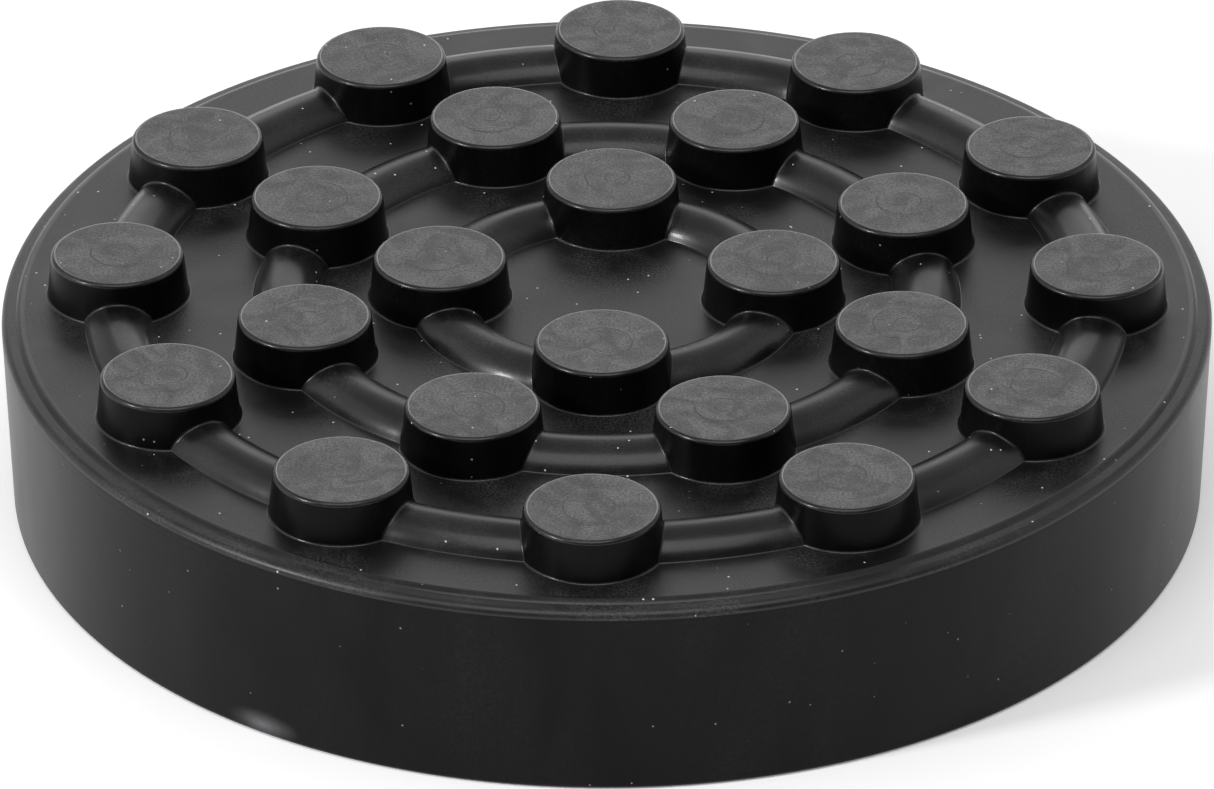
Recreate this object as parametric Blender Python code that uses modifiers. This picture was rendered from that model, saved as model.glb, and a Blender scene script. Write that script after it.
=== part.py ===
"""Round rubber pad for the arm of a vehicle lift.

One moulding: a thick disc with a stepped rim, three rings of tapered studs standing on its face,
and a low rounded rib that runs round each ring from stud to stud. The origin is the centre of the
flat underside, +Z points up through the studs, and all sizes are in metres.
"""

import math

import bmesh
import bpy

# Disc
PAD_RADIUS = 0.0600
DISC_THICKNESS = 0.0205
WALL_DRAFT = math.radians(2.1)
FOOT_EDGE_RADIUS = 0.0005
RIM_EDGE_RADIUS = 0.0008
STEP_WIDTH = 0.0023
FACE_EDGE_RADIUS = 0.0013
FACE_EDGE_SLOPE = math.radians(42)
LEDGE_SLOPE = math.radians(8)

# Studs
STUD_FOOT_RADIUS = 0.00703
STUD_HEIGHT = 0.0045
STUD_DRAFT = math.radians(5.8)
STUD_EDGE_RADIUS = 0.00045

# Rings of studs, measured inwards from the edge of the face
RIM_MARGIN = 0.00215
OUTER_RING_PITCH = 0.0168
INNER_RING_PITCH = 0.0152
STUDS_ADDED_PER_RING = 4

# Ribs
RIB_WIDTH = 0.0067
RIB_HEIGHT = 0.0023

# Inner corners where studs and ribs rise from the face
FILLET_RADIUS = 0.0003

# How far each raised form is rooted in the disc
STUD_ROOT = 0.0020
RIB_ROOT = 0.0012
FILLET_SINK = 0.00003

# Facets
DISC_SIDES = 96
STUD_SIDES = 24
RIB_SIDES_PER_STUD = 8
RIB_ARC_STEPS = 6
FACE_EDGE_STEPS = 3
RIM_EDGE_STEPS = 4
ROUND_EDGE_STEPS = 2
SMALL_FILLET_STEPS = 1
MERGE_DISTANCE = 0.00001
SMOOTH_ANGLE = math.radians(28)

RUBBER_COLOUR = (0.017, 0.017, 0.018, 1.0)
RUBBER_ROUGHNESS = 0.35


def clear_scene():
    for obj in list(bpy.data.objects):
        bpy.data.objects.remove(obj, do_unlink=True)


def new_collection(name, hidden=False):
    collection = bpy.data.collections.new(name)
    collection.hide_render = hidden
    bpy.context.scene.collection.children.link(collection)
    return collection


def rubber_material():
    material = bpy.data.materials.new("black_rubber")
    material.use_nodes = True
    shader = material.node_tree.nodes["Principled BSDF"]
    shader.inputs["Base Color"].default_value = RUBBER_COLOUR
    shader.inputs["Roughness"].default_value = RUBBER_ROUGHNESS
    shader.inputs["Metallic"].default_value = 0.0
    return material


def arc(centre, radius, start, end, steps):
    """Points of an arc about centre, both ends included, with angles from +X towards +Z."""
    points = []
    for step in range(steps + 1):
        angle = start + (end - start) * step / steps
        points.append((centre[0] + radius * math.cos(angle), centre[1] + radius * math.sin(angle)))
    return points


def arc_centre_radius(wall_radius, lean, height, arc_radius):
    """Distance from the axis to the centre of an arc that touches a conical wall.

    wall_radius is the wall's radius at height zero, and lean its angle inwards going up. A positive
    arc_radius lies inside the wall, a negative one outside it.
    """
    return wall_radius - height * math.tan(lean) - arc_radius / math.cos(lean)


def face_radius():
    """Radius of the flat face that carries the studs, out to where its edge starts to curve down."""
    return PAD_RADIUS - STEP_WIDTH


def rim_step():
    """Section of the step: the edge of the face curves down to a ledge that falls to a rounded rim."""
    face_edge_centre = (face_radius(), DISC_THICKNESS - FACE_EDGE_RADIUS)
    edge_end = math.pi / 2 - FACE_EDGE_SLOPE
    face_edge = arc(face_edge_centre, FACE_EDGE_RADIUS, math.pi / 2, edge_end, FACE_EDGE_STEPS)

    ledge_start_radius, ledge_start_height = face_edge[-1]
    rim_centre_radius = PAD_RADIUS - RIM_EDGE_RADIUS
    ledge_end_radius = rim_centre_radius + RIM_EDGE_RADIUS * math.sin(LEDGE_SLOPE)
    ledge_drop = (ledge_end_radius - ledge_start_radius) * math.tan(LEDGE_SLOPE)
    ledge_end_height = ledge_start_height - ledge_drop
    rim_centre = (rim_centre_radius, ledge_end_height - RIM_EDGE_RADIUS * math.cos(LEDGE_SLOPE))
    rim_start = math.pi / 2 - LEDGE_SLOPE
    rim_edge = arc(rim_centre, RIM_EDGE_RADIUS, rim_start, -WALL_DRAFT, RIM_EDGE_STEPS)
    return face_edge + rim_edge, rim_centre


def disc_profile():
    """Half section of the disc, from the middle of its face over the rim to the middle of its underside."""
    lean = -WALL_DRAFT
    step, rim_centre = rim_step()
    wall_radius = rim_centre[0] + rim_centre[1] * math.tan(lean) + RIM_EDGE_RADIUS / math.cos(lean)
    foot_centre = (
        arc_centre_radius(wall_radius, lean, FOOT_EDGE_RADIUS, FOOT_EDGE_RADIUS),
        FOOT_EDGE_RADIUS,
    )

    profile = [(0.0, DISC_THICKNESS)]
    profile += step
    profile += arc(foot_centre, FOOT_EDGE_RADIUS, lean, -math.pi / 2, ROUND_EDGE_STEPS)
    profile.append((0.0, 0.0))
    return profile


def stud_profile():
    """Half section of a stud above and below the face, which lies at height zero."""
    edge_height = STUD_HEIGHT - STUD_EDGE_RADIUS
    edge_centre = (
        arc_centre_radius(STUD_FOOT_RADIUS, STUD_DRAFT, edge_height, STUD_EDGE_RADIUS),
        edge_height,
    )
    fillet_height = FILLET_RADIUS - FILLET_SINK
    fillet_centre = (
        arc_centre_radius(STUD_FOOT_RADIUS, STUD_DRAFT, fillet_height, -FILLET_RADIUS),
        fillet_height,
    )

    profile = [(0.0, STUD_HEIGHT)]
    profile += arc(edge_centre, STUD_EDGE_RADIUS, math.pi / 2, STUD_DRAFT, ROUND_EDGE_STEPS)
    fillet_start = math.pi + STUD_DRAFT
    profile += arc(fillet_centre, FILLET_RADIUS, fillet_start, math.pi * 3 / 2, SMALL_FILLET_STEPS)
    profile.append((fillet_centre[0], -STUD_ROOT))
    profile.append((0.0, -STUD_ROOT))
    return profile


def rib_profile(ring_radius):
    """Closed section of a rib: a low arch, a fillet at each foot, and straight sides down to its root."""
    half_width = RIB_WIDTH / 2
    arch_radius = (half_width**2 + RIB_HEIGHT**2) / (2 * RIB_HEIGHT)
    arch_depth = arch_radius - RIB_HEIGHT
    fillet_height = FILLET_RADIUS - FILLET_SINK
    reach = arch_radius + FILLET_RADIUS
    foot_angle = math.asin((arch_depth + fillet_height) / reach)
    inner_radius = ring_radius - reach * math.cos(foot_angle)
    outer_radius = ring_radius + reach * math.cos(foot_angle)

    arch_centre = (ring_radius, -arch_depth)
    profile = arc(arch_centre, arch_radius, math.pi - foot_angle, foot_angle, RIB_ARC_STEPS)
    outer_start = math.pi + foot_angle
    outer_centre = (outer_radius, fillet_height)
    profile += arc(outer_centre, FILLET_RADIUS, outer_start, math.pi * 3 / 2, SMALL_FILLET_STEPS)[1:]
    profile.append((outer_radius, -RIB_ROOT))
    profile.append((inner_radius, -RIB_ROOT))
    inner_centre = (inner_radius, fillet_height)
    profile += arc(inner_centre, FILLET_RADIUS, -math.pi / 2, -foot_angle, SMALL_FILLET_STEPS)[:-1]
    return profile


def profile_mesh(name, profile, closed):
    """The section as a chain of edges in the XZ plane."""
    mesh = bpy.data.meshes.new(name)
    section = bmesh.new()
    verts = [section.verts.new((radius, 0.0, height)) for radius, height in profile]
    for first, second in zip(verts, verts[1:]):
        section.edges.new((first, second))
    if closed:
        section.edges.new((verts[-1], verts[0]))
    section.to_mesh(mesh)
    section.free()
    return mesh


def turned_object(name, mesh, sides, collection):
    """An object that turns its section once round the Z axis."""
    obj = bpy.data.objects.new(name, mesh)
    collection.objects.link(obj)
    screw = obj.modifiers.new("turn", "SCREW")
    screw.axis = "Z"
    screw.angle = math.tau
    screw.steps = sides
    screw.render_steps = sides
    screw.use_merge_vertices = True
    screw.merge_threshold = MERGE_DISTANCE
    screw.use_smooth_shade = True
    return obj


def rings():
    """The three rings from the middle outwards, each as its radius, its stud count and its turn."""
    outer_radius = face_radius() - RIM_MARGIN - STUD_FOOT_RADIUS
    middle_radius = outer_radius - OUTER_RING_PITCH
    inner_radius = middle_radius - INNER_RING_PITCH
    middle_turn = math.pi / (2 * STUDS_ADDED_PER_RING)
    return [
        (inner_radius, STUDS_ADDED_PER_RING, 0.0),
        (middle_radius, 2 * STUDS_ADDED_PER_RING, middle_turn),
        (outer_radius, 3 * STUDS_ADDED_PER_RING, 0.0),
    ]


def as_form(obj):
    """Marks an object as a form that is only joined into the pad."""
    obj.hide_render = True
    obj.display_type = "WIRE"


def add_studs(collection):
    mesh = profile_mesh("stud_section", stud_profile(), closed=False)
    for ring_number, (radius, count, turn) in enumerate(rings(), start=1):
        for stud_number in range(count):
            angle = turn + math.tau * stud_number / count
            name = f"stud_{ring_number}_{stud_number + 1:02d}"
            stud = turned_object(name, mesh, STUD_SIDES, collection)
            stud.location = (radius * math.cos(angle), radius * math.sin(angle), DISC_THICKNESS)
            stud.rotation_euler.z = angle
            as_form(stud)


def add_ribs(collection):
    for ring_number, (radius, count, turn) in enumerate(rings(), start=1):
        mesh = profile_mesh(f"rib_section_{ring_number}", rib_profile(radius), closed=True)
        rib = turned_object(f"rib_{ring_number}", mesh, count * RIB_SIDES_PER_STUD, collection)
        rib.location.z = DISC_THICKNESS
        rib.rotation_euler.z = turn
        as_form(rib)


def add_pad(collection, raised_forms):
    """The disc joined with every raised form into one smooth-shaded solid."""
    disc_mesh = profile_mesh("disc_section", disc_profile(), closed=False)
    disc = turned_object("disc", disc_mesh, DISC_SIDES, collection)
    join = disc.modifiers.new("join raised forms", "BOOLEAN")
    join.operation = "UNION"
    join.solver = "EXACT"
    join.operand_type = "COLLECTION"
    join.collection = raised_forms

    bpy.context.view_layer.update()
    graph = bpy.context.evaluated_depsgraph_get()
    mesh = bpy.data.meshes.new_from_object(disc.evaluated_get(graph))
    bpy.data.objects.remove(disc)

    pad = bpy.data.objects.new("rubber_pad", mesh)
    collection.objects.link(pad)
    mesh.name = "rubber_pad"
    mesh.materials.clear()
    mesh.materials.append(rubber_material())
    mesh.shade_smooth()
    mesh.set_sharp_from_angle(angle=SMOOTH_ANGLE)
    return pad


def main():
    clear_scene()
    parts = new_collection("lift_arm_rubber_pad")
    raised_forms = new_collection("raised_forms", hidden=True)
    add_studs(raised_forms)
    add_ribs(raised_forms)
    add_pad(parts, raised_forms)


main()
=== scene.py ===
"""Studded rubber pad for a vehicle lift arm, with its finish, its stage and its camera.

The pad is one moulding: a thick disc with a stepped rim, three rings of tapered studs, and a low
rounded rib that runs round each ring from stud to stud. Every inner corner between studs, ribs and
face carries the same small fillet, as if a ball had been rolled along it. All sizes are in metres.
"""

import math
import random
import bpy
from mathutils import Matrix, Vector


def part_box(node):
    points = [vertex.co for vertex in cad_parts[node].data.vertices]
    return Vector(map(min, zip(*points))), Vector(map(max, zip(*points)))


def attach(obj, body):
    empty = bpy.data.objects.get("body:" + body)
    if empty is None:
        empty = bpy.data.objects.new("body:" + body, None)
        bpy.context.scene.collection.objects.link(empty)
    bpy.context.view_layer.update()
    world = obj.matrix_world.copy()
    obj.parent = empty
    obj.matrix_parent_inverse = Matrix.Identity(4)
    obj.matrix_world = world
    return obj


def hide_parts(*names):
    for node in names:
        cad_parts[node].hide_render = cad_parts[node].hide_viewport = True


bl_info = {
    "name": "Studded Rubber Lift Pad",
    "version": (1, 0, 0),
    "blender": (4, 5, 0),
    "location": "3D View > Sidebar > Lift Pad",
    "description": "Models a moulded rubber pad for a lift arm and the stage it is shown on",
    "category": "Add Mesh",
}

import bmesh
import bpy
from bpy.props import FloatProperty, FloatVectorProperty, IntProperty, PointerProperty
from mathutils import Euler, Matrix, Vector

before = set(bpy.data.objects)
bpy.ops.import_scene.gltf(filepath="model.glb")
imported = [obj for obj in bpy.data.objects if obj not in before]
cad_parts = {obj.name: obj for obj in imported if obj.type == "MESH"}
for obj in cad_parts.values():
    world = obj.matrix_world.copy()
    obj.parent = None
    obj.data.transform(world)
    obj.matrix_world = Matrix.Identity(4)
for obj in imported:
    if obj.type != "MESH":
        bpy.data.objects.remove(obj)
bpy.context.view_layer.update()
PAD_NODE = "rubber_pad"
PAD_LOW, PAD_HIGH = (Vector(corner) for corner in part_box(PAD_NODE))

MERGE_DISTANCE = 2e-6
DOWN = Vector((0, 0, -1))

# Finishes of the one moulding, in the order of its material slots
SATIN_FACE, GLOSSY, MATT_TOP, STUD_WALL, SIDE_WALL, RUBBED_EDGE = range(6)

# Layer that says where each point lies on its stud's turning mark: as X and Y from the mark's middle,
# with +X towards its fullest side, and with the mark's own radius as Z
MARK_LAYER = "top_mark"
MARK_SEED = 7

# Settings that like properties share
LENGTH = {"unit": "LENGTH", "subtype": "DISTANCE", "precision": 5}
COLOUR = {"subtype": "COLOR", "min": 0.0, "max": 1.0}

SENSOR_WIDTH = 36.0


class LiftPadShape(bpy.types.PropertyGroup):
    """Sizes of the moulding."""

    pad_radius: FloatProperty(
        name="Pad radius",
        description="Radius of the widest circle, just under the top edge",
        default=(PAD_HIGH.x - PAD_LOW.x) / 2,
        **LENGTH,
    )
    pad_height: FloatProperty(
        name="Pad height",
        description="Height from the underside to the tops of the studs",
        default=PAD_HIGH.z - PAD_LOW.z,
        **LENGTH,
    )
    wall_draft: FloatProperty(
        name="Wall draft",
        description="Lean of the outer wall, which narrows towards the underside",
        default=math.radians(2.1),
        subtype="ANGLE",
    )
    foot_edge_radius: FloatProperty(
        name="Foot edge radius",
        description="Rounding of the edge that stands on the floor",
        default=0.0005,
        **LENGTH,
    )
    rim_edge_radius: FloatProperty(
        name="Rim edge radius",
        description="Rounding between the outer wall and the ledge",
        default=0.0008,
        **LENGTH,
    )
    step_width: FloatProperty(
        name="Step width",
        description="Distance from the pad's edge in to where the face starts to curve down",
        default=0.0023,
        **LENGTH,
    )
    face_edge_radius: FloatProperty(
        name="Face edge radius",
        description="Rounding with which the face curves down to the ledge",
        default=0.0013,
        **LENGTH,
    )
    face_edge_slope: FloatProperty(
        name="Face edge slope",
        description="Steepest slope of the rounded edge of the face",
        default=math.radians(42),
        subtype="ANGLE",
    )
    ledge_fillet_radius: FloatProperty(
        name="Ledge fillet radius",
        description="Radius of the inner corner between the edge of the face and the ledge",
        default=0.00012,
        **LENGTH,
    )
    ledge_slope: FloatProperty(
        name="Ledge slope",
        description="Fall of the ledge towards the outer wall",
        default=math.radians(8),
        subtype="ANGLE",
    )
    stud_height: FloatProperty(
        name="Stud height",
        description="Height of the studs above the face",
        default=0.0045,
        **LENGTH,
    )
    stud_foot_radius: FloatProperty(
        name="Stud foot radius",
        description="Radius of a stud where its wall meets the face",
        default=0.00703,
        **LENGTH,
    )
    stud_draft: FloatProperty(
        name="Stud draft",
        description="Lean of the stud walls",
        default=math.radians(5.8),
        subtype="ANGLE",
    )
    stud_edge_radius: FloatProperty(
        name="Stud edge radius",
        description="Rounding of the top edge of a stud",
        default=0.00045,
        **LENGTH,
    )
    rib_width: FloatProperty(
        name="Rib width",
        description="Width of a rib at the face",
        default=0.0067,
        **LENGTH,
    )
    rib_height: FloatProperty(
        name="Rib height",
        description="Height of the arch of a rib above the face",
        default=0.0023,
        **LENGTH,
    )
    fillet_radius: FloatProperty(
        name="Fillet radius",
        description="Radius of every inner corner between face, ribs and studs",
        default=0.00025,
        **LENGTH,
    )
    rim_margin: FloatProperty(
        name="Rim margin",
        description="Flat face between the outer studs and the edge of the face",
        default=0.00215,
        **LENGTH,
    )
    outer_ring_pitch: FloatProperty(
        name="Outer ring pitch",
        description="Distance from the outer ring of studs in to the middle ring",
        default=0.0168,
        **LENGTH,
    )
    inner_ring_pitch: FloatProperty(
        name="Inner ring pitch",
        description="Distance from the middle ring of studs in to the inner ring",
        default=0.0152,
        **LENGTH,
    )
    studs_added_per_ring: IntProperty(
        name="Studs added per ring",
        description="Studs in the inner ring, and how many more each next ring has",
        default=4,
        min=3,
    )


class LiftPadFinish(bpy.types.PropertyGroup):
    """Colours and gloss of the rubber."""

    rubber_colour: FloatVectorProperty(
        name="Rubber colour",
        description="Colour of the clean moulded rubber",
        default=(0.0058, 0.0058, 0.0061),
        **COLOUR,
    )
    top_colour: FloatVectorProperty(
        name="Stud top colour",
        description="Colour of the matt tops of the studs",
        default=(0.06, 0.06, 0.061),
        **COLOUR,
    )
    face_roughness: FloatProperty(
        name="Face roughness",
        description="Roughness of the flat face between the studs",
        default=0.4,
        min=0.0,
        max=1.0,
        subtype="FACTOR",
    )
    rib_roughness: FloatProperty(
        name="Rib roughness",
        description="Roughness of the ribs and of all rounded edges and corners",
        default=0.32,
        min=0.0,
        max=1.0,
        subtype="FACTOR",
    )


class LiftPadStage(bpy.types.PropertyGroup):
    """Camera, floor and lights."""

    camera_azimuth: FloatProperty(
        name="Camera azimuth",
        description="Turn of the camera about the pad, from looking along +Y",
        default=math.radians(1.711),
        subtype="ANGLE",
    )
    camera_elevation: FloatProperty(
        name="Camera elevation",
        description="Height of the camera above the floor, as an angle",
        default=math.radians(29.876),
        subtype="ANGLE",
    )
    camera_roll: FloatProperty(
        name="Camera roll",
        description="Turn of the camera about its own line of sight",
        default=math.radians(-0.162),
        subtype="ANGLE",
    )
    camera_distance: FloatProperty(
        name="Camera distance",
        description="Distance from the lens to the aim point",
        default=1.1064,
        **LENGTH,
    )
    aim_forward: FloatProperty(
        name="Aim point",
        description="Distance of the aim point in front of the pad's axis, at the height of the face",
        default=0.019184,
        **LENGTH,
    )
    lens_millimetres: FloatProperty(
        name="Lens",
        description=f"Focal length in millimetres on a sensor {SENSOR_WIDTH:.0f} mm wide",
        default=335.7,
    )
    front_room_light: FloatProperty(
        name="Front room light",
        description="Brightness of the room on the camera's side",
        default=0.12,
        min=0.0,
    )
    back_room_light: FloatProperty(
        name="Back room light",
        description="Brightness of the walls behind and beside the pad",
        default=0.55,
        min=0.0,
    )
    floor_colour: FloatVectorProperty(
        name="Floor colour",
        description="Colour of the studio floor",
        default=(0.9, 0.9, 0.9),
        **COLOUR,
    )


def even_steps(start, end, steps):
    """Values from start to end, both included."""
    return [start + (end - start) * step / steps for step in range(steps + 1)]


def turned_about_axis(radius, angle, height):
    """The point at this radius, angle and height about an upright axis."""
    return Vector((radius * math.cos(angle), radius * math.sin(angle), height))


def arc_section(centre, radius, start, end, steps):
    """(radius, height) points of an arc, with angles from outwards towards up."""
    return [
        (centre[0] + radius * math.cos(angle), centre[1] + radius * math.sin(angle))
        for angle in even_steps(start, end, steps)
    ]


def add_grid(mesh, rows, closed=False, finish=GLOSSY):
    """Adds a quad sheet through equally long rows of points."""
    vert_rows = [[mesh.verts.new(point) for point in row] for row in rows]
    width = len(rows[0])
    last = width if closed else width - 1
    for upper, lower in zip(vert_rows, vert_rows[1:]):
        for column in range(last):
            following = (column + 1) % width
            corners = (upper[column], upper[following], lower[following], lower[column])
            mesh.faces.new(corners).material_index = finish


def add_fan(mesh, centre, row, finish):
    """Closes a ring of points with triangles that meet at its centre."""
    middle = mesh.verts.new(centre)
    verts = [mesh.verts.new(point) for point in row]
    for index, vert in enumerate(verts):
        corners = (middle, vert, verts[(index + 1) % len(verts)])
        mesh.faces.new(corners).material_index = finish


def on_ball(centre, radius, start, end, steps):
    """Points along the great arc of a ball between two directions."""
    return [centre + radius * start.slerp(end, factor) for factor in even_steps(0.0, 1.0, steps)]


class StudCell:
    """One stud with the half ribs at its two sides, and the fillets between them.

    The cell's stud stands on the +X axis, and the face of the disc lies at height zero. A ball of
    the fillet's radius touches two surfaces along each fillet, and all three where a rib, a stud
    and the face meet.
    """

    # Rings of the flat top as shares of its radius, close together where the turning marks have edges
    TOP_RINGS = (0.1, 0.19, *(0.23 + 0.0325 * ring for ring in range(13)), 0.71, 0.82, 0.93, 1.0)

    # Steps of the rounded top edge, and how many of them, from the top down, are rubbed
    EDGE_STEPS = 6
    RUBBED_STEPS = 1

    WALL_STEPS = 4
    FILLET_STEPS = 5
    ARCH_STEPS = 24
    RIB_STEPS = 10
    FACE_ARC_STEPS = 16

    def __init__(self, shape, ring_radius, stud_count):
        self.shape = shape
        self.ring_radius = ring_radius
        self.half_pitch = math.pi / stud_count
        self.ball = shape.fillet_radius
        half_width = shape.rib_width / 2
        rise = shape.rib_height
        self.arch_radius = (half_width**2 + rise**2) / (2 * rise)
        self.arch_height = rise - self.arch_radius
        reach = self.arch_radius + self.ball
        self.foot_offset = math.sqrt(reach**2 - (self.ball - self.arch_height) ** 2)
        self.foot_angle = math.atan2(self.foot_offset, self.ball - self.arch_height)

    def wall_radius(self, height):
        return self.shape.stud_foot_radius - height * math.tan(self.shape.stud_draft)

    def wall_normal(self, direction):
        """Outward normal of the stud's wall, in the direction of this angle round the stud."""
        draft = self.shape.stud_draft
        level = math.cos(draft)
        return Vector((level * math.cos(direction), level * math.sin(direction), math.sin(draft)))

    def ball_distance(self, height):
        """Distance from the stud's axis to the middle of a ball that touches its wall."""
        return self.wall_radius(height) + self.ball / math.cos(self.shape.stud_draft)

    def ball_beside_rib(self, arch_angle):
        """Middle of the ball that touches both the stud and the rib, and its angle round the pad."""
        reach = self.arch_radius + self.ball
        radius = self.ring_radius + reach * math.sin(arch_angle)
        height = self.arch_height + reach * math.cos(arch_angle)
        distance = self.ball_distance(height)
        cosine = (radius**2 + self.ring_radius**2 - distance**2) / (2 * radius * self.ring_radius)
        turn = math.acos(cosine)
        return turned_about_axis(radius, turn, height), turn

    def rib_normal(self, arch_angle, turn):
        """Outward normal of the rib's arch, at this angle over the arch and round the pad."""
        level = math.sin(arch_angle)
        return Vector((level * math.cos(turn), level * math.sin(turn), math.cos(arch_angle)))

    def ball_touches(self, arch_angle):
        """Middle of the ball beside the rib, with its directions to the stud's wall and to the rib."""
        centre, turn = self.ball_beside_rib(arch_angle)
        to_wall = -self.wall_normal(self.direction_of(centre))
        return centre, to_wall, -self.rib_normal(arch_angle, turn)

    def direction_of(self, point):
        """Angle of a point round the stud's own axis, from the outward direction."""
        return math.atan2(point.y, point.x - self.ring_radius)

    def arch_angles(self):
        """Angles over the arch of a rib, from its outer foot to its inner foot."""
        return even_steps(self.foot_angle, -self.foot_angle, self.ARCH_STEPS)

    def around_stud(self):
        """Each direction round the stud with the height at which its wall ends in a fillet."""
        lift = self.ball * math.sin(self.shape.stud_draft)
        rib_side = []
        for arch_angle in self.arch_angles():
            centre, _ = self.ball_beside_rib(arch_angle)
            rib_side.append((self.direction_of(centre), centre.z - lift))
        outer, inner = rib_side[0][0], rib_side[-1][0]
        end = self.ball - lift
        samples = [(angle, end) for angle in even_steps(-outer, outer, self.FACE_ARC_STEPS)]
        samples += rib_side[1:]
        inner_arc = even_steps(inner, math.tau - inner, self.FACE_ARC_STEPS)
        samples += [(angle, end) for angle in inner_arc[1:]]
        samples += [(math.tau - angle, height) for angle, height in reversed(rib_side[1:-1])]
        return samples

    def on_stud(self, distance, direction, height):
        """The point at this distance from the stud's own axis."""
        offset = Vector((self.ring_radius, 0.0, 0.0))
        return offset + turned_about_axis(distance, direction, height)

    def add_stud(self, mesh):
        samples = self.around_stud()
        shape = self.shape
        edge = shape.stud_edge_radius
        edge_height = shape.stud_height - edge
        edge_distance = self.wall_radius(edge_height) - edge / math.cos(shape.stud_draft)
        section = arc_section(
            (edge_distance, edge_height), edge, math.pi / 2, shape.stud_draft, self.EDGE_STEPS
        )

        top = []
        for share in self.TOP_RINGS:
            distance = edge_distance * share
            top.append([self.on_stud(distance, angle, shape.stud_height) for angle, _ in samples])
        add_fan(mesh, self.on_stud(0.0, 0.0, shape.stud_height), top[0], MATT_TOP)
        add_grid(mesh, top, closed=True, finish=MATT_TOP)

        edge_rows = []
        for distance, height in section:
            edge_rows.append([self.on_stud(distance, angle, height) for angle, _ in samples])
        add_grid(mesh, edge_rows[: self.RUBBED_STEPS + 1], closed=True, finish=RUBBED_EDGE)
        add_grid(mesh, edge_rows[self.RUBBED_STEPS :], closed=True)

        wall_top = section[-1][1]
        wall_rows = []
        for share in even_steps(0.0, 1.0, self.WALL_STEPS):
            row = []
            for angle, wall_end in samples:
                height = wall_top + (wall_end - wall_top) * share
                row.append(self.on_stud(self.wall_radius(height), angle, height))
            wall_rows.append(row)
        add_grid(mesh, wall_rows, closed=True, finish=STUD_WALL)

    def add_face_fillets(self, mesh):
        """The fillets between the stud and the face, outside and inside the ring."""
        distance = self.ball_distance(self.ball)
        outer = self.direction_of(self.ball_beside_rib(self.foot_angle)[0])
        inner = self.direction_of(self.ball_beside_rib(-self.foot_angle)[0])
        for start, end in ((-outer, outer), (inner, math.tau - inner)):
            rows = []
            for angle in even_steps(start, end, self.FACE_ARC_STEPS):
                centre = self.on_stud(distance, angle, self.ball)
                rows.append(
                    on_ball(centre, self.ball, -self.wall_normal(angle), DOWN, self.FILLET_STEPS)
                )
            add_grid(mesh, rows)

    def add_rib_end(self, mesh, side):
        """The fillet between the stud and one rib, and the two corner patches at its feet."""
        rows = []
        for arch_angle in self.arch_angles():
            centre, to_wall, to_rib = self.ball_touches(arch_angle)
            points = on_ball(centre, self.ball, to_wall, to_rib, self.FILLET_STEPS)
            rows.append([side @ point for point in points])
        add_grid(mesh, rows)

        for arch_angle in (self.foot_angle, -self.foot_angle):
            self.add_corner(mesh, side, *self.ball_touches(arch_angle))

    def add_corner(self, mesh, side, centre, to_wall, to_rib):
        """The triangle of the ball between its touching points on stud, rib and face."""
        steps = self.FILLET_STEPS
        rows = [[mesh.verts.new(side @ (centre + self.ball * to_wall))]]
        for index in range(1, steps + 1):
            start = to_wall.slerp(to_rib, index / steps)
            end = to_wall.slerp(DOWN, index / steps)
            points = on_ball(centre, self.ball, start, end, index)
            rows.append([mesh.verts.new(side @ point) for point in points])
        for upper, lower in zip(rows, rows[1:]):
            for index, vert in enumerate(upper):
                triangles = [(vert, lower[index], lower[index + 1])]
                if index + 1 < len(upper):
                    triangles.append((vert, lower[index + 1], upper[index + 1]))
                for triangle in triangles:
                    mesh.faces.new(triangle).material_index = GLOSSY

    def add_half_rib(self, mesh, side):
        """The rib from its fillet at the stud to halfway to the next stud, with both its feet."""
        _, outer_turn = self.ball_beside_rib(self.foot_angle)
        _, inner_turn = self.ball_beside_rib(-self.foot_angle)
        lines = [(radius, height, outer_turn) for radius, height in self.foot_section(1)[:0:-1]]
        for arch_angle in self.arch_angles():
            _, turn = self.ball_beside_rib(arch_angle)
            radius = self.ring_radius + self.arch_radius * math.sin(arch_angle)
            height = self.arch_height + self.arch_radius * math.cos(arch_angle)
            lines.append((radius, height, turn))
        lines += [(radius, height, inner_turn) for radius, height in self.foot_section(-1)[1:]]
        rows = []
        for radius, height, turn in lines:
            angles = even_steps(turn, self.half_pitch, self.RIB_STEPS)
            rows.append([side @ turned_about_axis(radius, angle, height) for angle in angles])
        add_grid(mesh, rows)

    def foot_section(self, outwards):
        """Section of a rib's foot fillet, from the rib down to the face."""
        centre = Vector((self.ring_radius + outwards * self.foot_offset, 0.0, self.ball))
        to_rib = Vector((-outwards * math.sin(self.foot_angle), 0.0, -math.cos(self.foot_angle)))
        points = on_ball(centre, self.ball, to_rib, DOWN, self.FILLET_STEPS)
        return [(point.x, point.z) for point in points]

    def add_to(self, mesh):
        self.add_stud(mesh)
        self.add_face_fillets(mesh)
        for side in (Matrix.Identity(3), Matrix.Diagonal((1, -1, 1))):
            self.add_rib_end(mesh, side)
            self.add_half_rib(mesh, side)


def face_radius(shape):
    """Radius of the flat face, out to where its edge starts to curve down."""
    return shape.pad_radius - shape.step_width


def face_height(shape):
    """Height of the flat face above the underside."""
    return shape.pad_height - shape.stud_height


def stud_rings(shape):
    """The three rings from the middle outwards, each as its radius, its stud count and its turn."""
    outer_radius = face_radius(shape) - shape.rim_margin - shape.stud_foot_radius
    middle_radius = outer_radius - shape.outer_ring_pitch
    inner_radius = middle_radius - shape.inner_ring_pitch
    step = shape.studs_added_per_ring
    return [
        (inner_radius, step, 0.0),
        (middle_radius, 2 * step, math.pi / (2 * step)),
        (outer_radius, 3 * step, 0.0),
    ]


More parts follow.
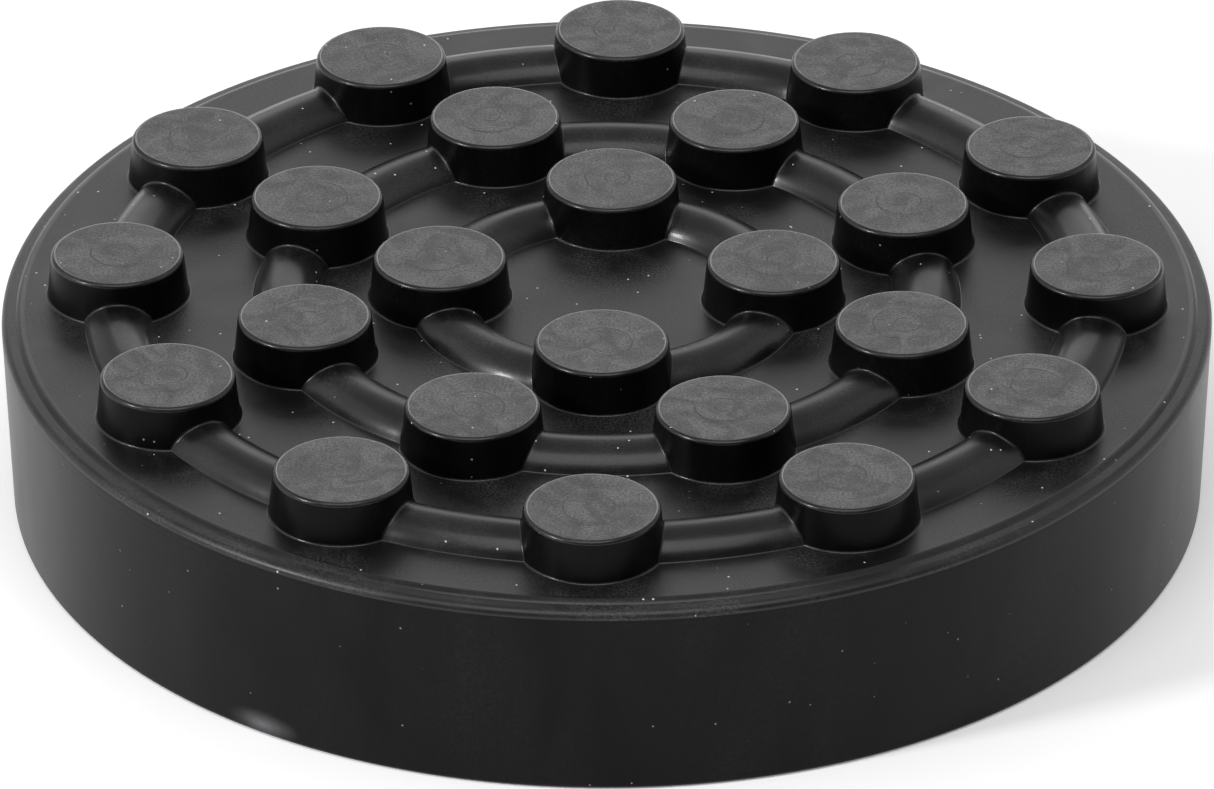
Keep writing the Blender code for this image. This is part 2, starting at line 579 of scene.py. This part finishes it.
class TopMark:
    """Turning marks of the mould on one stud's top: a low boss, and a shallow dimple in it."""

    # Depth on the faintest side as a share of the depth on the fullest side
    FAINTEST_SHARE = 0.4

    # The top stays low for this far round the boss, and then rises again up to this radius
    BOSS_SURROUND = 0.0006
    FADE_RADIUS = 0.0056

    DIMPLE_EDGE = 0.0004

    def __init__(self, draws):
        away = draws.uniform(0.0, 0.0004)
        turn = draws.uniform(0.0, math.tau)
        self.offset = Vector((away * math.cos(turn), away * math.sin(turn)))
        self.boss_radius = draws.uniform(0.0027, 0.0032)
        self.boss_height = draws.uniform(0.00003, 0.00005)
        self.boss_edge = draws.uniform(0.0002, 0.0003)
        self.dimple_radius = draws.uniform(0.0016, 0.0021)
        self.dimple_depth = draws.uniform(0.00001, 0.000022)
        self.fullest = draws.uniform(0.0, math.tau)

    def place(self, point):
        """Where this point lies on the mark, as the finish of the top reads it."""
        turned = Matrix.Rotation(-self.fullest, 2) @ (point - self.offset)
        return Vector((turned.x, turned.y, self.boss_radius))

    def depth(self, point):
        """How far the top lies below its highest level at this point, given from its middle."""
        place = point - self.offset
        distance = place.length
        swing = (1.0 - self.FAINTEST_SHARE) / 2
        share = 1.0 - swing + swing * math.cos(math.atan2(place.y, place.x) - self.fullest)
        below_boss = smooth_rise(distance, self.boss_radius, self.boss_radius + self.boss_edge)
        surround_end = self.boss_radius + self.BOSS_SURROUND
        below_boss *= 1.0 - smooth_rise(point.length, surround_end, self.FADE_RADIUS)
        dimple_end = self.dimple_radius + self.DIMPLE_EDGE
        in_dimple = 1.0 - smooth_rise(distance, self.dimple_radius, dimple_end)
        return share * (self.boss_height * below_boss + self.dimple_depth * in_dimple)


def smooth_rise(value, low, high):
    """0 up to low and 1 from high on, with an even curve between."""
    share = min(max((value - low) / (high - low), 0.0), 1.0)
    return share * share * (3.0 - 2.0 * share)


def press_mark(verts, layer, mark, ring_radius, top_height):
    """Sets the flat top of a cell's stud back by the depth of its mark."""
    middle = Vector((ring_radius, 0.0))
    for vert in verts:
        point = vert.co.xy - middle
        vert[layer] = mark.place(point)
        if vert.co.z > top_height - MERGE_DISTANCE:
            vert.co.z -= mark.depth(point)


def add_ring(mesh, shape, ring, draws):
    """One ring of studs and ribs, made from copies of a single cell."""
    ring_radius, stud_count, ring_turn = ring
    cell = bmesh.new()
    StudCell(shape, ring_radius, stud_count).add_to(cell)
    cell_data = bpy.data.meshes.new("stud_cell")
    cell.to_mesh(cell_data)
    cell.free()
    layer = mesh.verts.layers.float_vector[MARK_LAYER]
    for number in range(stud_count):
        before = len(mesh.verts)
        mesh.from_mesh(cell_data)
        mesh.verts.ensure_lookup_table()
        copied = mesh.verts[before:]
        press_mark(copied, layer, TopMark(draws), ring_radius, shape.stud_height)
        turn = Matrix.Rotation(ring_turn + math.tau * number / stud_count, 4, "Z")
        place = Matrix.Translation((0, 0, face_height(shape))) @ turn
        bmesh.ops.transform(mesh, matrix=place, verts=copied)
    bpy.data.meshes.remove(cell_data)


RIM_SIDES = 240
FACE_EDGE_STEPS = 10
LEDGE_FILLET_STEPS = 4
RIM_EDGE_STEPS = 10
SIDE_WALL_STEPS = 8
FOOT_EDGE_STEPS = 6

# Thin lines of flash that run round the side wall, each as its depth under the rim's rounding
FLASH_LINES = (0.00045, 0.0010)
FLASH_HALF_WIDTH = 0.00006
FLASH_HEIGHT = 0.000015


def rim_section(shape):
    """Sections of the face's edge, of the ledge and its rim, of the wall and of its foot."""
    edge = shape.face_edge_radius
    slope = shape.face_edge_slope
    up = math.pi / 2
    edge_centre = (face_radius(shape), face_height(shape) - edge)
    face_edge = arc_section(edge_centre, edge, up, up - slope, FACE_EDGE_STEPS)

    fillet = shape.ledge_fillet_radius
    ledge_slope = shape.ledge_slope
    fillet_centre = (
        face_edge[-1][0] + fillet * math.sin(slope),
        face_edge[-1][1] + fillet * math.cos(slope),
    )
    down = math.pi * 3 / 2
    ledge = arc_section(
        fillet_centre, fillet, down - slope, down - ledge_slope, LEDGE_FILLET_STEPS
    )

    rim = shape.rim_edge_radius
    ledge_end = shape.pad_radius - rim + rim * math.sin(ledge_slope)
    ledge_drop = (ledge_end - ledge[-1][0]) * math.tan(ledge_slope)
    rim_centre = (
        shape.pad_radius - rim,
        ledge[-1][1] - ledge_drop - rim * math.cos(ledge_slope),
    )
    lean = shape.wall_draft
    ledge += arc_section(rim_centre, rim, up - ledge_slope, -lean, RIM_EDGE_STEPS)

    foot = shape.foot_edge_radius
    foot_centre = (
        rim_centre[0] + (rim - foot) / math.cos(lean) - (rim_centre[1] - foot) * math.tan(lean),
        foot,
    )
    foot_arc = arc_section(foot_centre, foot, -lean, -up, FOOT_EDGE_STEPS)
    return face_edge, ledge, side_wall_section(ledge[-1], foot_arc[0]), foot_arc


def side_wall_section(start, end):
    """Section of the side wall, with the lines of flash near its top."""
    start, end = Vector(start), Vector(end)
    down = (end - start).normalized()
    outwards = Vector((-down.y, down.x))
    points = [start]
    for depth in FLASH_LINES:
        line = start + down * depth
        points.append(line - down * FLASH_HALF_WIDTH)
        points.append(line + outwards * FLASH_HEIGHT)
        points.append(line + down * FLASH_HALF_WIDTH)
    last = points[-1]
    points += [last.lerp(end, share) for share in even_steps(0.0, 1.0, SIDE_WALL_STEPS)[1:]]
    return [tuple(point) for point in points]


def add_rim(mesh, shape):
    """Everything that is turned about the pad's own axis, down to the underside."""
    angles = [math.tau * side / RIM_SIDES for side in range(RIM_SIDES)]
    finishes = (GLOSSY, SATIN_FACE, SIDE_WALL, SIDE_WALL)
    for section, finish in zip(rim_section(shape), finishes):
        rows = []
        for radius, height in section:
            rows.append([turned_about_axis(radius, angle, height) for angle in angles])
        add_grid(mesh, rows, closed=True, finish=finish)
    add_fan(mesh, Vector((0, 0, 0)), rows[-1], SIDE_WALL)


def fill_face(mesh, rings):
    """Fills the flat face inside, between and outside the rings of studs, in the first finish."""
    bmesh.ops.remove_doubles(mesh, verts=mesh.verts, dist=MERGE_DISTANCE)
    borders = [edge for edge in mesh.edges if edge.is_boundary]
    limits = [radius for radius, _, _ in rings] + [math.inf]
    inside = 0.0
    for limit in limits:
        region = []
        for edge in borders:
            middle = (edge.verts[0].co + edge.verts[1].co) / 2
            if inside < middle.xy.length < limit:
                region.append(edge)
        bmesh.ops.triangle_fill(mesh, edges=region, use_beauty=True, normal=(0, 0, 1))
        inside = limit


AREA_WEIGHT = 60


def add_weighted_normals(obj):
    """Lets the large flat areas keep their own shading next to the small fillets."""
    weighted = obj.modifiers.new("weighted normals", "WEIGHTED_NORMAL")
    weighted.mode = "FACE_AREA"
    weighted.weight = AREA_WEIGHT
    weighted.keep_sharp = False


def pad_mesh(shape):
    """The whole moulding as one closed mesh."""
    mesh = bmesh.new()
    mesh.verts.layers.float_vector.new(MARK_LAYER)
    rings = stud_rings(shape)
    draws = random.Random(MARK_SEED)
    for ring in rings:
        add_ring(mesh, shape, ring, draws)
    add_rim(mesh, shape)
    fill_face(mesh, rings)
    bmesh.ops.recalc_face_normals(mesh, faces=mesh.faces)
    open_edges = [edge for edge in mesh.edges if not edge.is_manifold]
    if open_edges:
        raise RuntimeError(f"the moulding has {len(open_edges)} open edges")
    data = bpy.data.meshes.new("rubber_moulding")
    mesh.to_mesh(data)
    mesh.free()
    data.shade_smooth()
    return data


class NodeChain:
    """Adds the shader nodes of a material or a world one after the other, and links them."""

    def __init__(self, owner):
        owner.use_nodes = True
        self.tree = owner.node_tree
        self.tree.nodes.clear()

    def add(self, kind, label="", sockets=None, **settings):
        """Adds a node and gives each of these sockets its link or its value."""
        node = self.tree.nodes.new(kind)
        node.label = label
        for name, value in settings.items():
            setattr(node, name, value)
        for socket, value in (sockets or {}).items():
            if isinstance(value, bpy.types.NodeSocket):
                self.tree.links.new(value, node.inputs[socket])
            else:
                node.inputs[socket].default_value = value
        return node

    def noise(self, label, place, scale, detail=3.0, distortion=0.0):
        sockets = {"Vector": place, "Scale": scale, "Detail": detail, "Distortion": distortion}
        return self.add("ShaderNodeTexNoise", label, sockets).outputs["Fac"]

    def ranged(self, label, value, low, high, to_low=0.0, to_high=1.0, **settings):
        """Value stretched from low..high to to_low..to_high, and held at the ends."""
        sockets = {
            "Value": value,
            "From Min": low,
            "From Max": high,
            "To Min": to_low,
            "To Max": to_high,
        }
        return self.add("ShaderNodeMapRange", label, sockets, **settings).outputs["Result"]

    def maths(self, operation, label, *values):
        sockets = dict(enumerate(values))
        return self.add("ShaderNodeMath", label, sockets, operation=operation).outputs[0]

    def vector_maths(self, operation, label, *values, output="Vector"):
        sockets = dict(enumerate(values))
        node = self.add("ShaderNodeVectorMath", label, sockets, operation=operation)
        return node.outputs[output]

    def mixed(self, label, factor, first, second):
        """A colour from first at factor 0 to second at factor 1."""
        sockets = {"Factor": factor, 6: first, 7: second}
        node = self.add("ShaderNodeMix", label, sockets, data_type="RGBA")
        return node.outputs[2]

    def bump(self, label, height, depth, normal=None):
        """Relief of this depth in metres."""
        sockets = {"Height": height, "Strength": 1.0, "Distance": depth}
        if normal:
            sockets["Normal"] = normal
        return self.add("ShaderNodeBump", label, sockets).outputs["Normal"]


# Places for specks of dust to a metre, and where a speck starts to fade and ends, in that spacing
SPECK_PLACES = 1000.0
SPECK_CORE = 0.06
SPECK_END = 0.13


def add_dust(chain, place, colour, share, paleness=0.65):
    """Scattered pale specks of dust on top of a colour. share is how many of the places have one."""
    cells = chain.add(
        "ShaderNodeTexVoronoi", "places for specks", {"Vector": place, "Scale": SPECK_PLACES}
    ).outputs
    draw = chain.add("ShaderNodeSeparateColor", "one draw a place", {"Color": cells["Color"]})
    near = chain.ranged("speck", cells["Distance"], SPECK_CORE, SPECK_END, 1.0, 0.0)
    chosen = chain.maths("LESS_THAN", "few of them", draw.outputs["Red"], share)
    speck = chain.maths("MULTIPLY", "dust", near, chosen)
    return chain.mixed("dusted", speck, colour, (paleness, paleness, paleness, 1.0))


RUBBER_IOR = 1.46
COAT_ROUGHNESS = 0.12


def finish_rubber(chain, label, colour, roughness, normal, specular_level=0.5, coat=0.0):
    """Ends a chain of nodes with the rubber's shader. A coat is its polished skin."""
    sockets = {
        "Base Color": colour,
        "Roughness": roughness,
        "IOR": RUBBER_IOR,
        "Specular IOR Level": specular_level,
        "Coat Weight": coat,
        "Coat Roughness": COAT_ROUGHNESS,
        "Coat IOR": RUBBER_IOR,
        "Normal": normal,
    }
    shader = chain.add("ShaderNodeBsdfPrincipled", label, sockets)
    chain.add("ShaderNodeOutputMaterial", "", {"Surface": shader.outputs["BSDF"]})


def tinted(colour, factor):
    """A lighter or darker tone of a colour, as four channels."""
    return tuple(min(channel * factor, 1.0) for channel in colour) + (1.0,)


def new_finish(name):
    """A material with its chain of nodes, and the place on the pad to draw textures from."""
    material = bpy.data.materials.new(name)
    chain = NodeChain(material)
    return material, chain, chain.add("ShaderNodeTexCoord", "place on the pad").outputs["Object"]


def moulded_rubber(name, finish, shine, specular_level, coat, palest):
    """Black rubber as it leaves a smooth mould, with a thin film of dust in its grain.

    shine is the middle of its roughness, and palest how much lighter the film is than the rubber.
    """
    material, chain, place = new_finish(name)
    grain = chain.noise("mould grain", place, scale=4200.0, detail=2.0)
    patches = chain.noise("patches", place, scale=160.0, detail=5.0, distortion=0.4)
    swell = chain.noise("slow waves", place, scale=240.0, detail=2.0)
    film = chain.maths(
        "MULTIPLY",
        "film caught in the grain",
        chain.ranged("dust film", patches, 0.42, 0.7, 0.1, 1.0),
        chain.ranged("grain hollows", grain, 0.38, 0.64),
    )
    colour = finish.rubber_colour
    tone = chain.mixed("film over black", film, tinted(colour, 0.3), tinted(colour, palest))
    roughness = chain.ranged("sheen", patches, 0.3, 0.7, shine - 0.05, shine + 0.06)
    relief = chain.bump("slow waves", swell, depth=0.00002)
    relief = chain.bump("mould grain", grain, depth=0.000007, normal=relief)
    dusted = add_dust(chain, place, tone, share=0.12)
    finish_rubber(chain, "rubber", dusted, roughness, relief, specular_level, coat)
    return material


def satin_face_rubber(finish):
    """The flat face between the studs, and the ledge of the rim."""
    return moulded_rubber(
        "satin_face_rubber",
        finish,
        shine=finish.face_roughness,
        specular_level=0.54,
        coat=0.0,
        palest=6.0,
    )


def glossy_rubber(finish):
    """The ribs, the rounded edges and the inner corners, which the mould leaves the smoothest."""
    return moulded_rubber(
        "glossy_rubber",
        finish,
        shine=finish.rib_roughness,
        specular_level=0.42,
        coat=0.14,
        palest=3.5,
    )


# Thin grooves that the turning tool left, whose shade is painted on the stud tops as dark lines: each
# one's radius as a share of its mark's, and where it fades in, from -1 on the mark's faintest side to
# 1 on its fullest side
ARC_LINES = (
    ("outer arc", 1.02, -0.2, 0.6),
    ("inner arc", 0.6, 0.2, -0.6),
    ("short arc", 0.3, 0.1, 0.7),
)

# How far from its middle a line starts to fade and ends, and how far it wanders off its circle
ARC_CORE = 0.00003
ARC_EDGE = 0.00012
ARC_WANDER = 0.00035


def arc_line(chain, place, label, share, start, end):
    """1 on one thin line round part of a turning mark, and 0 off it."""
    parts = chain.add("ShaderNodeSeparateXYZ", label, {"Vector": place}).outputs
    level = chain.add("ShaderNodeCombineXYZ", label, {"X": parts["X"], "Y": parts["Y"]})
    distance = chain.vector_maths("LENGTH", label, level.outputs["Vector"], output="Value")
    radius = chain.maths("MULTIPLY", label, parts["Z"], share)
    gap = chain.maths("ABSOLUTE", label, chain.maths("SUBTRACT", label, distance, radius))
    line = chain.ranged(label, gap, ARC_CORE, ARC_EDGE, 1.0, 0.0)
    along = chain.maths("DIVIDE", label, parts["X"], distance)
    return chain.maths("MULTIPLY", label, line, chain.ranged(label, along, start, end))


def turned_lines(chain, place):
    """The arc lines of every stud's turning mark, a little unsteady."""
    on_mark = chain.add("ShaderNodeAttribute", "mark", attribute_name=MARK_LAYER).outputs["Vector"]
    wander = chain.add("ShaderNodeTexNoise", "unsteady hand", {"Vector": place, "Scale": 500.0})
    reach = (ARC_WANDER, ARC_WANDER, 0.0)
    shifted = chain.vector_maths(
        "MULTIPLY_ADD", "unsteady hand", wander.outputs["Color"], reach, on_mark
    )
    lines = 0.0
    for arc in ARC_LINES:
        lines = chain.maths("MAXIMUM", "all arcs", lines, arc_line(chain, shifted, *arc))
    return lines


def matt_top_rubber(finish):
    """The stud tops: greyer and more matt, from the turned bottoms of the mould's holes."""
    material, chain, place = new_finish("matt_top_rubber")
    grain = chain.noise("matt grain", place, scale=4000.0)
    smears = chain.noise("smears", place, scale=260.0, detail=8.0, distortion=1.4)
    smeared = chain.ranged("smears", smears, 0.38, 0.62)
    grained = chain.ranged("grain", grain, 0.34, 0.66)
    colour = finish.top_colour
    dull = chain.mixed("dull grain", grained, tinted(colour, 0.2), tinted(colour, 0.95))
    pale = chain.mixed("pale grain", grained, tinted(colour, 0.7), tinted(colour, 2.15))
    tone = chain.mixed("smeared", smeared, dull, pale)
    # Painted shade: the grooves of the turning marks are drawn as dark lines in the top's colour,
    # broken up in patches
    groove_shade_patches = chain.ranged("groove shade patches", smears, 0.4, 0.54, 0.25, 0.9)
    painted_groove_shade = chain.maths("MULTIPLY", "painted groove shade", turned_lines(chain, place), groove_shade_patches)
    with_groove_shade = chain.mixed("with_groove_shade", painted_groove_shade, tone, tinted(colour, 0.2))
    roughness = chain.ranged("worn sheen", smears, 0.3, 0.7, 0.42, 0.52)
    relief = chain.bump("smears", smears, depth=0.000012)
    relief = chain.bump("matt grain", grain, depth=0.000014, normal=relief)
    dusted = add_dust(chain, place, with_groove_shade, share=0.06)
    finish_rubber(chain, "stud top", dusted, roughness, relief)
    return material


# A pale rub at the foot of the side wall: its middle, its reach to each side, how much lower than
# long it is, how fast it fades and how much paler than the rubber it is
SCUFF_PLACE = (-0.0318, -0.0501, 0.0012)
SCUFF_REACH = 0.0044
SCUFF_FLATNESS = 2.6
SCUFF_FADE = 1.6
SCUFF_PALENESS = 48.0


def foot_scuff(chain, place, clouds):
    """1 in the middle of the rub and 0 outside it, broken up by the clouds of the wall."""
    offset = chain.vector_maths("SUBTRACT", "scuff", place, SCUFF_PLACE)
    flat = chain.vector_maths("MULTIPLY", "scuff", offset, (1.0, 1.0, SCUFF_FLATNESS))
    away = chain.vector_maths("LENGTH", "scuff", flat, output="Value")
    near = chain.ranged("near the scuff", away, 0.0, SCUFF_REACH, 1.0, 0.0)
    soft = chain.maths("POWER", "soft end of the scuff", near, SCUFF_FADE)
    return chain.maths("MULTIPLY", "scuff", soft, chain.ranged("rubbed", clouds, 0.3, 0.55))


def wall_rubber(name, finish, darkest, palest, dust, specular_level, scuffed):
    """A steep wall: dull black, with soft upright clouds and grain. A scuffed one has a pale rub.

    darkest and palest are the tones of the clouds, as multiples of the rubber's colour.
    """
    material, chain, place = new_finish(name)
    upright = chain.add(
        "ShaderNodeMapping", "drawn upright", {"Vector": place, "Scale": (1.0, 1.0, 0.4)}
    ).outputs["Vector"]
    clouds = chain.noise("clouds", upright, scale=90.0, detail=5.0, distortion=0.5)
    grain = chain.noise("mould grain", place, scale=3000.0)
    colour = finish.rubber_colour
    cloud = chain.ranged("clouds", clouds, 0.35, 0.72)
    caught = chain.maths(
        "MULTIPLY", "clouds in the grain", cloud, chain.ranged("grain", grain, 0.36, 0.64, 0.3, 1.0)
    )
    tone = chain.mixed("clouded", caught, tinted(colour, darkest), tinted(colour, palest))
    if scuffed:
        rubbed = foot_scuff(chain, place, clouds)
        tone = chain.mixed("scuffed", rubbed, tone, tinted(colour, SCUFF_PALENESS))
    roughness = chain.ranged("dull sheen", clouds, 0.3, 0.7, 0.25, 0.36)
    relief = chain.bump("mould grain", grain, depth=0.000008)
    dusted = add_dust(chain, place, tone, share=dust, paleness=0.25)
    finish_rubber(chain, "wall", dusted, roughness, relief, specular_level)
    return material


def stud_wall_rubber(finish):
    """The walls of the studs."""
    return wall_rubber(
        "stud_wall_rubber",
        finish,
        darkest=0.3,
        palest=1.1,
        dust=0.03,
        specular_level=0.1,
        scuffed=False,
    )


def side_wall_rubber(finish):
    """The outer wall of the pad, its foot and its underside."""
    return wall_rubber(
        "side_wall_rubber",
        finish,
        darkest=0.2,
        palest=1.6,
        dust=0.07,
        specular_level=0.16,
        scuffed=True,
    )


def rubbed_edge_rubber(finish):
    """Where a stud's edge starts to turn down: nearly as pale as the top, and rubbed to a shine."""
    material, chain, place = new_finish("rubbed_edge_rubber")
    grain = chain.noise("grain", place, scale=4000.0)
    colour = finish.top_colour
    tone = chain.mixed("grain", grain, tinted(colour, 0.5), tinted(colour, 1.3))
    relief = chain.bump("grain", grain, depth=0.000005)
    finish_rubber(chain, "rubbed edge", tone, roughness=0.26, normal=relief, coat=0.8)
    return material


# In the order of the finishes' numbers
FINISHES = (
    satin_face_rubber,
    glossy_rubber,
    matt_top_rubber,
    stud_wall_rubber,
    side_wall_rubber,
    rubbed_edge_rubber,
)


class LIFTPAD_OT_add_pad(bpy.types.Operator):
    """Models the rubber pad in place of its plain solid"""

    bl_idname = "liftpad.add_pad"
    bl_label = "Rubber Pad"

    def execute(self, context):
        scene = context.scene
        data = pad_mesh(scene.lift_pad_shape)
        pad = bpy.data.objects.new("moulded_pad", data)
        scene.collection.objects.link(pad)
        finish = scene.lift_pad_finish
        for make_material in FINISHES:
            data.materials.append(make_material(finish))
        add_weighted_normals(pad)
        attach(pad, "root")
        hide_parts(PAD_NODE)
        return {"FINISHED"}


def turned_with_camera(stage, right, forward, height):
    """A point given as the camera sees it: to the right, away from the camera, and up."""
    return Matrix.Rotation(stage.camera_azimuth, 3, "Z") @ Vector((right, forward, height))


CLIP_START = 0.01


def add_camera(scene, stage, shape):
    aim = turned_with_camera(stage, 0.0, -stage.aim_forward, face_height(shape))
    elevation = stage.camera_elevation
    sight = turned_with_camera(stage, 0.0, math.cos(elevation), -math.sin(elevation))
    data = bpy.data.cameras.new("view_camera")
    data.sensor_fit = "HORIZONTAL"
    data.sensor_width = SENSOR_WIDTH
    data.lens = stage.lens_millimetres
    data.clip_start = CLIP_START
    camera = bpy.data.objects.new("view_camera", data)
    scene.collection.objects.link(camera)
    level = Euler((math.pi / 2 - elevation, 0.0, stage.camera_azimuth)).to_matrix()
    roll = Matrix.Rotation(stage.camera_roll, 3, "Z")
    camera.matrix_world = Matrix.LocRotScale(
        aim - sight * stage.camera_distance, (level @ roll).to_quaternion(), None
    )
    scene.camera = camera


def direction_seen_from(elevation, azimuth):
    """Unit vector towards a point of the studio, with azimuth 0 away from the camera."""
    level = math.cos(elevation)
    return Vector((level * math.sin(azimuth), level * math.cos(azimuth), math.sin(elevation)))


def add_softbox(scene, stage, name, elevation, azimuth, distance, size, radiance):
    """An evenly bright panel that faces the pad. Its angles are given in degrees."""
    data = bpy.data.lights.new(name, "AREA")
    data.shape = "RECTANGLE"
    data.size, data.size_y = size
    data.energy = radiance * math.pi * size[0] * size[1]
    light = bpy.data.objects.new(name, data)
    scene.collection.objects.link(light)
    outwards = turned_with_camera(
        stage, *direction_seen_from(math.radians(elevation), math.radians(azimuth))
    )
    light.location = outwards * distance
    light.rotation_euler = (-outwards).to_track_quat("-Z", "Y").to_euler()


FLOOR_HALF_WIDTH = 3.0

# Keeps the floor out of the plane of the pad's underside
FLOOR_GAP = 0.00005

# How much brighter the floor looks than the light on it makes it
PAGE_LIFT = 0.2


def seen_directly(chain):
    """1 for what the camera, a mirror or a glass shows, and 0 for light that falls on surfaces."""
    rays = chain.add("ShaderNodeLightPath").outputs
    seen = chain.maths("MAXIMUM", "camera or gloss", rays["Is Camera Ray"], rays["Is Glossy Ray"])
    return chain.maths("MAXIMUM", "or glass", seen, rays["Is Transmission Ray"])


def floor_material(stage):
    """White paper that is lifted towards the white of the page, and clear from below."""
    material = bpy.data.materials.new("studio_floor")
    chain = NodeChain(material)
    paper = chain.add("ShaderNodeBsdfDiffuse", "paper", {"Color": (*stage.floor_colour, 1.0)})
    lift = chain.maths("MULTIPLY", "white lift", seen_directly(chain), PAGE_LIFT)
    glow = chain.add("ShaderNodeEmission", "white of the page", {"Strength": lift})
    both = chain.add("ShaderNodeAddShader", "", {0: paper.outputs[0], 1: glow.outputs[0]})
    from_below = chain.add("ShaderNodeNewGeometry").outputs["Backfacing"]
    clear = chain.add("ShaderNodeBsdfTransparent", "clear from below")
    sided = chain.add(
        "ShaderNodeMixShader",
        "clear from below",
        {0: from_below, 1: both.outputs[0], 2: clear.outputs[0]},
    )
    chain.add("ShaderNodeOutputMaterial", "", {"Surface": sided.outputs[0]})
    return material


def add_floor(scene, stage):
    mesh = bmesh.new()
    bmesh.ops.create_grid(mesh, x_segments=1, y_segments=1, size=FLOOR_HALF_WIDTH)
    data = bpy.data.meshes.new("studio_floor")
    mesh.to_mesh(data)
    mesh.free()
    data.materials.append(floor_material(stage))
    floor = bpy.data.objects.new("studio_floor", data)
    floor.location.z = -FLOOR_GAP
    scene.collection.objects.link(floor)


# Where the dim side of the room ends and its bright side begins, from -1 behind the camera to 1
# behind the pad
DIM_END = -0.7
BRIGHT_START = 0.1


def add_room_light(scene, stage):
    """Bright walls behind and beside the pad, and a dim room on the camera's side."""
    world = bpy.data.worlds.new("studio_room")
    scene.world = world
    chain = NodeChain(world)
    direction = chain.add("ShaderNodeTexCoord").outputs["Generated"]
    ahead = turned_with_camera(stage, 0.0, 1.0, 0.0)
    away = chain.vector_maths(
        "DOT_PRODUCT", "away from the camera", direction, ahead, output="Value"
    )
    strength = chain.ranged(
        "dim on the camera's side",
        away,
        DIM_END,
        BRIGHT_START,
        stage.front_room_light,
        stage.back_room_light,
        interpolation_type="SMOOTHSTEP",
    )
    room = chain.add(
        "ShaderNodeBackground", "room", {"Color": (1, 1, 1, 1), "Strength": strength}
    )
    chain.add("ShaderNodeOutputWorld", "", {"Surface": room.outputs[0]})


# Name, elevation and azimuth in degrees, distance and size in metres, and brightness. Azimuth 0
# lies behind the pad, and 180 on the camera's side.
SOFTBOXES = (
    ("overhead_bank", 62, 180, 1.1, (0.95, 0.65), 2.65),
    ("back_bank", 28, 0, 1.2, (1.1, 0.4), 1.15),
    ("low_back_strip", 4, 0, 1.2, (1.6, 0.16), 1.5),
    ("left_bank", 28, -84, 1.1, (0.8, 0.9), 0.5),
    ("right_bank", 28, 84, 1.1, (0.8, 0.9), 0.3),
    ("left_lamp", 30, -117, 1.1, (0.14, 0.17), 75.0),
)


class LIFTPAD_OT_add_stage(bpy.types.Operator):
    """Adds the floor, the lights and the camera"""

    bl_idname = "liftpad.add_stage"
    bl_label = "Stage"

    def execute(self, context):
        scene = context.scene
        stage = scene.lift_pad_stage
        add_floor(scene, stage)
        add_room_light(scene, stage)
        for softbox in SOFTBOXES:
            add_softbox(scene, stage, *softbox)
        add_camera(scene, stage, scene.lift_pad_shape)
        scene.view_settings.view_transform = "Standard"
        return {"FINISHED"}


class LIFTPAD_PT_panel(bpy.types.Panel):
    """Lists the pieces that can be added"""

    bl_idname = "LIFTPAD_PT_panel"
    bl_label = "Lift Pad"
    bl_space_type = "VIEW_3D"
    bl_region_type = "UI"
    bl_category = "Lift Pad"

    def draw(self, context):
        layout = self.layout
        scene = context.scene
        for operator in OPERATORS:
            layout.operator(operator.bl_idname)
        for settings in (scene.lift_pad_shape, scene.lift_pad_finish, scene.lift_pad_stage):
            box = layout.box()
            for name in settings.__annotations__:
                box.prop(settings, name)


SETTINGS = {
    "lift_pad_shape": LiftPadShape,
    "lift_pad_finish": LiftPadFinish,
    "lift_pad_stage": LiftPadStage,
}
OPERATORS = (LIFTPAD_OT_add_pad, LIFTPAD_OT_add_stage)


def register():
    for name, group in SETTINGS.items():
        bpy.utils.register_class(group)
        setattr(bpy.types.Scene, name, PointerProperty(type=group))
    for operator in OPERATORS:
        bpy.utils.register_class(operator)
    bpy.utils.register_class(LIFTPAD_PT_panel)


def unregister():
    bpy.utils.unregister_class(LIFTPAD_PT_panel)
    for operator in reversed(OPERATORS):
        bpy.utils.unregister_class(operator)
    for name, group in SETTINGS.items():
        delattr(bpy.types.Scene, name)
        bpy.utils.unregister_class(group)


def main():
    register()
    bpy.ops.liftpad.add_pad()
    bpy.ops.liftpad.add_stage()


if __name__ == "__main__":
    main()
